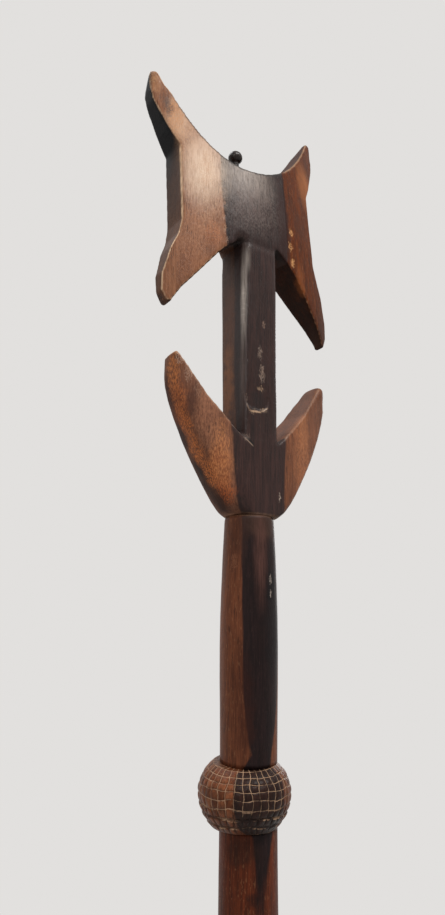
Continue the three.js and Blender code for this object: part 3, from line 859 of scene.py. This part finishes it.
flank = carving.verts.layers.float.new("flank")
soil_and_shade_layer = carving.verts.layers.float["soil_and_shade"]
for vertex in carving.verts:
    aside = clamped((ASIDE_START + vertex.normal.y) / ASIDE_REACH)
    below = clamped((-vertex.normal.z - BELOW_START) / BELOW_REACH)
    vertex[flank] = max(ASIDE_SHARE * aside, below)
    vertex[worn_layer] *= 1 - BACK_SHELTER * max(vertex.normal.y, 0.0)
# Painted shade on the saddle's front rim, kept in the soil and shade share. The rim is also worn less.
shaded_rim_points = [v for v in carving.verts if v.co.z > SADDLE_LOW and v.normal.y < -0.35
              and v.normal.z > 0.4 and SHADED_RIM_LEFT * MM < v.co.x < SHADED_RIM_RIGHT * MM]
shaded_rim_finder = finder(shaded_rim_points)
for vertex in carving.verts:
    if vertex.co.z > SADDLE_LOW - SHADED_RIM_REACH * MM and vertex.normal.y < -0.1:
        side = vertex.co.x / MM
        inside = clamped(min(side - SHADED_RIM_LEFT, SHADED_RIM_RIGHT - side) / SHADED_RIM_FADE)
        painted_rim = inside * max(0.0, 1 - shaded_rim_finder.find(vertex.co)[2] / (SHADED_RIM_REACH * MM))
        vertex[worn_layer] *= 1 - painted_rim
        vertex[soil_and_shade_layer] = max(vertex[soil_and_shade_layer], painted_rim)
print("rim points:", len(shaded_rim_points))
print("flank points:", sum(1 for v in carving.verts if v[flank] > 0.5))

# %% [markdown]
# ## Tool marks and damage
# A blade leaves a surface that is never quite flat. A slow noise moves each point a little along its
# own normal. The neck has a flake missing low on its front, with a sharp lower edge, and small chips
# line the border of the two woods on the head.

# %% Carve
HAND_WAVE = 0.12 * MM
HAND_LENGTH = 17 * MM
# Places of the chips beside each border of the two woods, their size and their depth, in millimetres
CHIPS = ((((23.2, -8.4, 958), (21.2, -10, 948), (22.5, -9.8, 939.5)), (2, 4, 4.5), 0.25),
         (((-23, -9, 961), (-23.2, -9, 953), (-23, -9.5, 945)), (1.6, 4, 2.6), 0.12))


def hand_carved(bm, wave, length):
    """Moves each point a little in or out, by a slow noise and a finer one."""
    for vertex in bm.verts:
        slow = noise.noise(vertex.co / length)
        fine = noise.noise(vertex.co / (length / 3) + Vector((7, 3, 5)))
        vertex.co += vertex.normal * wave * (slow + 0.2 * fine)


def chip(bm, centre, size, depth):
    """Presses an egg-shaped hollow into the skin. Millimetres."""
    middle = Vector(centre) * MM
    for vertex in bm.verts:
        offset = vertex.co - middle
        share = Vector((offset.x / size[0], offset.y / size[1], offset.z / size[2])).length / MM
        if share < 1:
            vertex.co -= vertex.normal * depth * MM * (1 - share * share)


hand_carved(carving, HAND_WAVE, HAND_LENGTH)
for centres, size, depth in CHIPS:
    for centre in centres:
        chip(carving, centre, size, depth)
print("chips pressed:", sum(len(centres) for centres, _, _ in CHIPS))

# %% Flake missing from the neck
FLAKE_MIDDLE = (-3.0, 853.5)
FLAKE_SIZE = (7.5, 8.5)
FLAKE_DEPTH = 0.9
FLAKE_TOP_SHARE = 0.35

for vertex in carving.verts:
    across_flake = (vertex.co.x / MM - FLAKE_MIDDLE[0]) / FLAKE_SIZE[0]
    up_flake = (vertex.co.z / MM - FLAKE_MIDDLE[1]) / FLAKE_SIZE[1]
    if vertex.co.y > 0 or abs(across_flake) > 1 or abs(up_flake) > 1:
        continue
    inside = 1 - across_flake ** 4 - up_flake ** 2
    if inside > 0:
        steep = min(inside * 3, 1) if up_flake < 0 else inside
        lower = FLAKE_TOP_SHARE + (1 - FLAKE_TOP_SHARE) * (1 - up_flake) / 2
        vertex.co.y += FLAKE_DEPTH * MM * steep * lower
carving.normal_update()
print("flake depth", FLAKE_DEPTH, "mm")

# %% [markdown]
# ## Divide the carving
# The joints lie at the neck's two ends and at the borders of the two woods. Bisecting the skin there
# gives each piece edges that meet its neighbour's exactly, and the open ends are filled. Only the faces
# close to the neck are cut at its ends, because the horns hang past them on both sides.

# %% Cut
NECK_FOOT_CUT = 834.5 * MM
NECK_HEAD_CUT = 940.5 * MM
NECK_REACH = 12.4 * MM
CUT_BAND = 3 * MM


def near_cut(bm, height):
    """Faces of the neck close to a height, with their edges and points."""
    faces = [f for f in bm.faces
             if all(abs(v.co.x) < NECK_REACH and abs(v.co.z - height) < CUT_BAND for v in f.verts)]
    edges = {e for f in faces for e in f.edges}
    points = {v for f in faces for v in f.verts}
    return faces + list(edges) + list(points)


for height in (NECK_FOOT_CUT, NECK_HEAD_CUT):
    bmesh.ops.bisect_plane(carving, geom=near_cut(carving, height), dist=MERGE,
                           plane_co=(0, 0, height), plane_no=(0, 0, 1))


def part_name(centre):
    """Which of the three main pieces a face belongs to."""
    if abs(centre.x) < NECK_REACH and NECK_FOOT_CUT < centre.z < NECK_HEAD_CUT:
        return "neck"
    return "head" if centre.z > (NECK_FOOT_CUT + NECK_HEAD_CUT) / 2 else "crescent"


def taken(bm, name):
    """A copy of the skin that keeps one main piece."""
    piece = bm.copy()
    others = [f for f in piece.faces if part_name(f.calc_center_median()) != name]
    bmesh.ops.delete(piece, geom=others, context="FACES")
    return piece


def sliced(bm, side, keep_left):
    """Cuts a copy with an upright plane across X and keeps one side of it."""
    piece = bm.copy()
    geometry = piece.faces[:] + piece.edges[:] + piece.verts[:]
    bmesh.ops.bisect_plane(piece, geom=geometry, dist=MERGE, plane_co=(side, 0, 0),
                           plane_no=(1, 0, 0), clear_outer=keep_left, clear_inner=not keep_left)
    return piece


def closed(bm):
    """Fills the open ends of a piece, with a crisp edge round each end."""
    open_edges = [e for e in bm.edges if e.is_boundary]
    for face in bm.faces:
        face.smooth = True
    ends = bmesh.ops.holes_fill(bm, edges=open_edges, sides=0)["faces"]
    for edge in open_edges:
        edge.smooth = False
    for face in ends:
        face.smooth = False
    bmesh.ops.triangulate(bm, faces=ends)
    bmesh.ops.recalc_face_normals(bm, faces=bm.faces)
    return bm


def add_piece(name, bm, material, replaced):
    """Makes an object of the bmesh and lets it stand for its solid."""
    mesh = bpy.data.meshes.new(name)
    bm.to_mesh(mesh)
    bm.free()
    mesh.materials.append(material)
    piece = in_scene(name, mesh)
    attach(piece, "root")
    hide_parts(replaced)
    print(name, "faces:", len(mesh.polygons))


# %% Neck, head and crescent pieces
HEAD_LEFT = -23 * MM
HEAD_RIGHT = 19 * MM
CRESCENT_LEFT = -16.5 * MM
CRESCENT_RIGHT = 15 * MM

add_piece("carved_neck", closed(taken(carving, "neck")), neck_wood, "neck")
for main, left, right, finish, right_finish in (
        ("head", HEAD_LEFT, HEAD_RIGHT, head_wood, right_wood),
        ("crescent", CRESCENT_LEFT, CRESCENT_RIGHT, crescent_wood, crescent_wood)):
    whole = taken(carving, main)
    sides = "horns" if main == "head" else "horn"
    middle = sliced(sliced(whole, left, False), right, True)
    add_piece(f"carved_{main}_core", closed(middle), finish, f"{main}_core")
    add_piece(f"carved_{main}_{sides}_left", closed(sliced(whole, left, True)), finish,
              f"{main}_{sides}_left")
    add_piece(f"carved_{main}_{sides}_right", closed(sliced(whole, right, False)), right_finish,
              f"{main}_{sides}_right")
    whole.free()
carving.free()

# %% [markdown]
# ## Shafts
# The round shafts were shaved with a knife and polished in the hand. A profile is spun once round the
# axis, with rows close enough to take the small waves that the knife left.

# %% Spin the shafts
SHAFT_TURNS = 96
ROW_STEP = 1.6 * MM
SHAFT_WAVE = 0.16 * MM
SHAVE_INSIDE = 9 * MM
# Sizes along X, Y and Z of a knife's strokes and of their ripples, in metres
STROKE_SIZE = (0.006, 0.006, 0.045)
RIPPLE_SIZE = (0.003, 0.003, 0.012)
UPPER_FOOT = 678 * MM
BALL_END = 14.8 * MM
LEAN_REACH = 9 * MM
LEAN_DROP = 2.0 * MM
LEAN_FRONT = Vector((-0.54, -0.84, 0))


def spun(profile, segments, axis=(0, 0, 0)):
    """Spins pairs of radius and height round an upright axis and closes the skin."""
    bm = bmesh.new()
    points = [bm.verts.new((axis[0] + radius, axis[1], height)) for radius, height in profile]
    edges = [bm.edges.new(pair) for pair in zip(points, points[1:])]
    bmesh.ops.spin(bm, geom=points + edges, cent=axis, axis=(0, 0, 1), angle=2 * math.pi,
                   steps=segments, use_merge=True)
    bmesh.ops.remove_doubles(bm, verts=bm.verts, dist=MERGE)
    bmesh.ops.recalc_face_normals(bm, faces=bm.faces)
    for face in bm.faces:
        face.smooth = True
    return bm


def filled_in(corners, step):
    """Adds points to a profile so that none are further apart than the step."""
    profile = [corners[0]]
    for (r0, z0), (r1, z1) in zip(corners, corners[1:]):
        count = max(1, math.ceil(math.hypot(r1 - r0, z1 - z0) / step))
        profile += [(r0 + (r1 - r0) * i / count, z0 + (z1 - z0) * i / count)
                    for i in range(1, count + 1)]
    return profile


def shaved(bm, wave):
    """Long shallow strokes of a knife along the shaft. The flat ends stay where they are."""
    wear = bm.verts.layers.float.new("wear")
    bm.verts.layers.float.new("soil_and_shade")
    for vertex in bm.verts:
        out = Vector((vertex.co.x, vertex.co.y, 0))
        if out.length < SHAVE_INSIDE:
            continue
        knife, ripple = [noise.noise(Vector([c / s for c, s in zip(vertex.co, size)]))
                         for size in (STROKE_SIZE, RIPPLE_SIZE)]
        vertex.co += out.normalized() * wave * (knife + 0.3 * ripple)
        vertex[wear] = max(0.0, 0.5 * knife)
    return bm


lower_profile = filled_in([(0, 0), (0.0078, 0), (0.0095, 0.0006), (0.0106, 0.0018), (0.0110, 0.0045),
                           (0.0135, 0.420), (0.0135, 0.648), (0, 0.648)], ROW_STEP)
upper_profile = filled_in([(0, 0.678), (0.0136, 0.678), (0.0139, 0.697), (0.0141, 0.712),
                           (0.0142, 0.728), (0.0141, 0.742), (0.0138, 0.756), (0.0134, 0.770),
                           (0.0129, 0.781), (0.0125, 0.7895), (0.0122, 0.791), (0, 0.791)], ROW_STEP)

lower_shaft = shaved(spun(lower_profile, SHAFT_TURNS), SHAFT_WAVE)
upper_shaft = shaved(spun(upper_profile, SHAFT_TURNS), SHAFT_WAVE)
for vertex in upper_shaft.verts:
    share = max(0.0, 1 - (vertex.co.z - UPPER_FOOT) / LEAN_REACH)
    vertex.co.z -= LEAN_DROP * share * (1 + vertex.co.dot(LEAN_FRONT) / BALL_END)
upper_shaft.normal_update()
add_piece("carved_lower_shaft", lower_shaft, low_wood, "lower_shaft")
add_piece("carved_upper_shaft", upper_shaft, shaft_wood, "upper_shaft")

# %% [markdown]
# ## Ball with its grid of cells
# The ball is ringed by hand-cut grooves that cross grooves running from top to bottom. The upper cells
# are nearly flat with thin pale lines between them. The lower ones are raised blocks. An array of
# small blocks would look machine-made, so a fine ball is spun and each point is moved by its distance
# to the nearest groove, with the grooves wandering a little. Pale dust in the grooves, and a painted
# highlight on the upper rims of the lower cells, is kept as one attribute. Painted shade in the grooves
# of the lower rows, beside the lines and on the top, and a darker tone on cells that sit lower, is kept
# as another. The ball's top leans down to the front, and so does the end of the shaft above it.

# %% Ball shape
BALL_FOOT = 648 * MM
BALL_HEIGHT = 30 * MM
BALL_RADIUS = 21.8 * MM
BALL_BORE = BALL_END * 0.6
TOP_STEP = 0.35 * MM
BALL_SIDE = -2.3 * MM
ROWS = 8
COLUMNS = 34
FINE_ROWS = 128
FINE_COLUMNS = 612

end_turn = math.acos(BALL_END / BALL_RADIUS)
half_height = BALL_HEIGHT / 2 / math.sin(end_turn)
ball_top = BALL_FOOT + BALL_HEIGHT
ball_profile = [(0, BALL_FOOT), (BALL_BORE, BALL_FOOT)]
for i in range(FINE_ROWS + 1):
    turn = end_turn * (2 * i / FINE_ROWS - 1)
    ball_profile.append((BALL_RADIUS * math.cos(turn),
                         BALL_FOOT + BALL_HEIGHT / 2 + half_height * math.sin(turn)))
ball_profile += filled_in([(BALL_END, ball_top), (BALL_BORE, ball_top)], TOP_STEP)[1:]
ball_profile.append((0, ball_top))
ball = spun(ball_profile, FINE_COLUMNS, (BALL_SIDE, 0, 0))
print("ball points:", len(ball.verts))

# %% Cut the grid
CELL_HEIGHT = 2 * end_turn * BALL_RADIUS / ROWS
GROOVE_HALF = 0.24 * MM
GROOVE_DEPTH = 1.1 * MM
NOISE_SIZE = 7 * MM
ROW_WANDER, COLUMN_WANDER, QUICK_WANDER = 0.22, 0.26, 0.07
RAISED_BELOW, RAISED_FADE = 0.52, 0.3
CELL_TILT, CELL_PILLOW, CELL_LIFT = 0.75 * MM, -0.3 * MM, 0.3 * MM
LIT_RIM_PLACE, LIT_RIM_WIDTH = 0.86, 0.1

wear = ball.verts.layers.float.new("wear")
soil_and_shade = ball.verts.layers.float.new("soil_and_shade")
dust_and_highlight = ball.verts.layers.float.new("dust_and_highlight")
ball.normal_update()
for vertex in ball.verts:
    out = Vector((vertex.co.x - BALL_SIDE, vertex.co.y, 0))
    on_top = vertex.co.z > ball_top - MERGE
    if out.length < BALL_END * (0.65 if on_top else 0.95):
        continue
    rise = (vertex.co.z - BALL_FOOT - BALL_HEIGHT / 2) / half_height
    turn = math.asin(max(-1.0, min(1.0, rise)))
    row = (turn / end_turn + 1) / 2 * ROWS + max(0.0, (BALL_END - out.length) / CELL_HEIGHT) * on_top
    column = math.atan2(out.y, out.x) / (2 * math.pi) * COLUMNS
    way = Vector((out.x, out.y, vertex.co.z)) / NOISE_SIZE
    row += ROW_WANDER * noise.noise(way) + QUICK_WANDER * noise.noise(way * 3.1)
    column += (COLUMN_WANDER * noise.noise(way + Vector((9, 4, 2)))
               + QUICK_WANDER * noise.noise(way * 3.3))
    lowness = clamped((ROWS * RAISED_BELOW - row) / (ROWS * RAISED_FADE))
    to_row = abs(row - round(row)) * CELL_HEIGHT
    to_column = abs(column - round(column)) * 2 * math.pi * out.length / COLUMNS
    nearest = min(to_row, to_column)
    cell = Vector((math.floor(row) * 3.7, math.floor(column % COLUMNS) * 5.3, 1.9))
    lift = 0.5 + 0.5 * noise.cell(cell)
    strength = 0.75 + 0.5 * noise.noise(way * 2.2 + Vector((1, 8, 3)))
    width = GROOVE_HALF * (0.75 + 0.5 * lowness) * (0.8 + 0.4 * strength)
    groove = max(math.exp(-(to_row / width) ** 2), 0.85 * math.exp(-(to_column / width) ** 2))
    depth = GROOVE_DEPTH * (0.5 + 0.55 * lowness) * strength
    within = row - math.floor(row)
    tilt = CELL_TILT * lowness * (within - 0.8)
    pillow = CELL_PILLOW * (1 - nearest / (CELL_HEIGHT / 2)) ** 2
    edge_fade = max(0.15, min(1.0, 4 * row / ROWS + 0.15, 4 * (ROWS - row) / ROWS + 0.15))
    raised = tilt + pillow + CELL_LIFT * (lift - 0.5)
    vertex.co += vertex.normal * ((-groove * depth + raised * (1 - groove)) * edge_fade)
    # Painted highlight on the upper rims of the lower cells, kept with the dust in the grooves.
    painted_rim = (math.exp(-((within - LIT_RIM_PLACE) / LIT_RIM_WIDTH) ** 2) * lowness
           * max(0.0, 0.6 + 1.4 * noise.noise(way * 1.7)))
    near_line = math.exp(-(nearest / (2.4 * width)) ** 2) * (1 - groove)
    bright = max(0.7, min(1.3, 1.0 + 0.6 * noise.noise(way * 1.3 + Vector((3, 1, 6)))))
    vertex[dust_and_highlight] = min(1.0, bright * groove * (1 - 0.6 * lowness) + 0.8 * painted_rim * (1 - groove))
    # Painted shade: dark in the lower rows' grooves, beside every line and on the top, and darker on
    # cells that sit lower.
    vertex[soil_and_shade] = max(groove * lowness, 0.75 * near_line, 0.45 * (1 - lift) ** 2, 0.5 * on_top)
    vertex[wear] = 0.35 * (1 - groove) * lift
for vertex in ball.verts:
    above = (vertex.co.z - BALL_FOOT - BALL_HEIGHT / 2) / (BALL_HEIGHT / 2)
    if above > 0:
        vertex.co.z -= LEAN_DROP * min(above, 1.0) ** 1.5 * (1 + vertex.co.dot(LEAN_FRONT) / BALL_END)
ball.normal_update()
print("cells:", ROWS * COLUMNS)

# %% [markdown]
# ## Finish of the ball
# The same two-tone wood, less polished, with pale dust and painted highlight over it where the
# attribute says. This pale cover is dull, so it also raises the roughness.

# %% Ball finish
DUST_AND_HIGHLIGHT = (192, 156, 126)
DUST_AND_HIGHLIGHT_COVER = 0.66
DUST_ROUGHNESS = 0.3

ball_wood = carved_wood("ball wood", ((142, 78, 44), (66, 34, 20)), ((128, 70, 42), (60, 30, 18)),
                        heart=((20, 11, 8), (58, 34, 27)), polish=0.36, shine=0.12, worn=0.35,
                        grime=0.4)
tree = ball_wood.node_tree
shader = next(n for n in tree.nodes if n.type == "BSDF_PRINCIPLED")
under = shader.inputs["Base Color"].links[0].from_socket
sheen = shader.inputs["Roughness"].links[0].from_socket
place = next(n for n in tree.nodes if n.type == "TEX_COORD").outputs["Object"]
crumbs = sum_of("ADD", grain(place, (1200, 1200, 1200), detail=3.0), 0.5)
cover = span(times(recorded(tree, "dust_and_highlight"), crumbs), 0.28, 0.75)
fill(shader, {"Base Color": painted(under, cover, DUST_AND_HIGHLIGHT_COVER, DUST_AND_HIGHLIGHT),
              "Roughness": sum_of("MULTIPLY_ADD", cover, DUST_ROUGHNESS, sheen)})
add_piece("carved_ball", ball, ball_wood, "grid_ball")

# %% [markdown]
# ## Knobbed peg
# A small turned peg of black wood with a round knob. Its profile is spun like the shafts, with a
# narrow neck under the knob.

# %% Peg
KNOB_RADIUS = 4.3 * MM
STEM_RADIUS = 2.2 * MM
STEM_FOOT = 14 * MM
UNDER_KNOB = 0.6 * MM
KNOB_ROWS, PEG_TURNS = 20, 48

peg_low, peg_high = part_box("knob_peg")
peg_side = (peg_low.x + peg_high.x) / 2
peg_back = (peg_low.y + peg_high.y) / 2
knob_middle = peg_high.z - KNOB_RADIUS
start = math.asin(STEM_RADIUS / KNOB_RADIUS)
peg_profile = [(0, peg_low.z), (STEM_RADIUS, peg_low.z), (STEM_RADIUS, peg_low.z + STEM_FOOT),
               (STEM_RADIUS, knob_middle - KNOB_RADIUS * math.cos(start) - UNDER_KNOB)]
for i in range(KNOB_ROWS + 1):
    turn = start + (math.pi - start) * i / KNOB_ROWS
    radius = 0 if i == KNOB_ROWS else KNOB_RADIUS * math.sin(turn)
    peg_profile.append((radius, knob_middle - KNOB_RADIUS * math.cos(turn)))
peg = spun(peg_profile, PEG_TURNS, (peg_side, peg_back, 0))
peg.verts.layers.float.new("wear")
peg.verts.layers.float.new("soil_and_shade")
peg_wood = carved_wood("peg wood", ((44, 34, 31), (20, 16, 15)), polish=0.24)
add_piece("turned_peg", peg, peg_wood, "knob_peg")
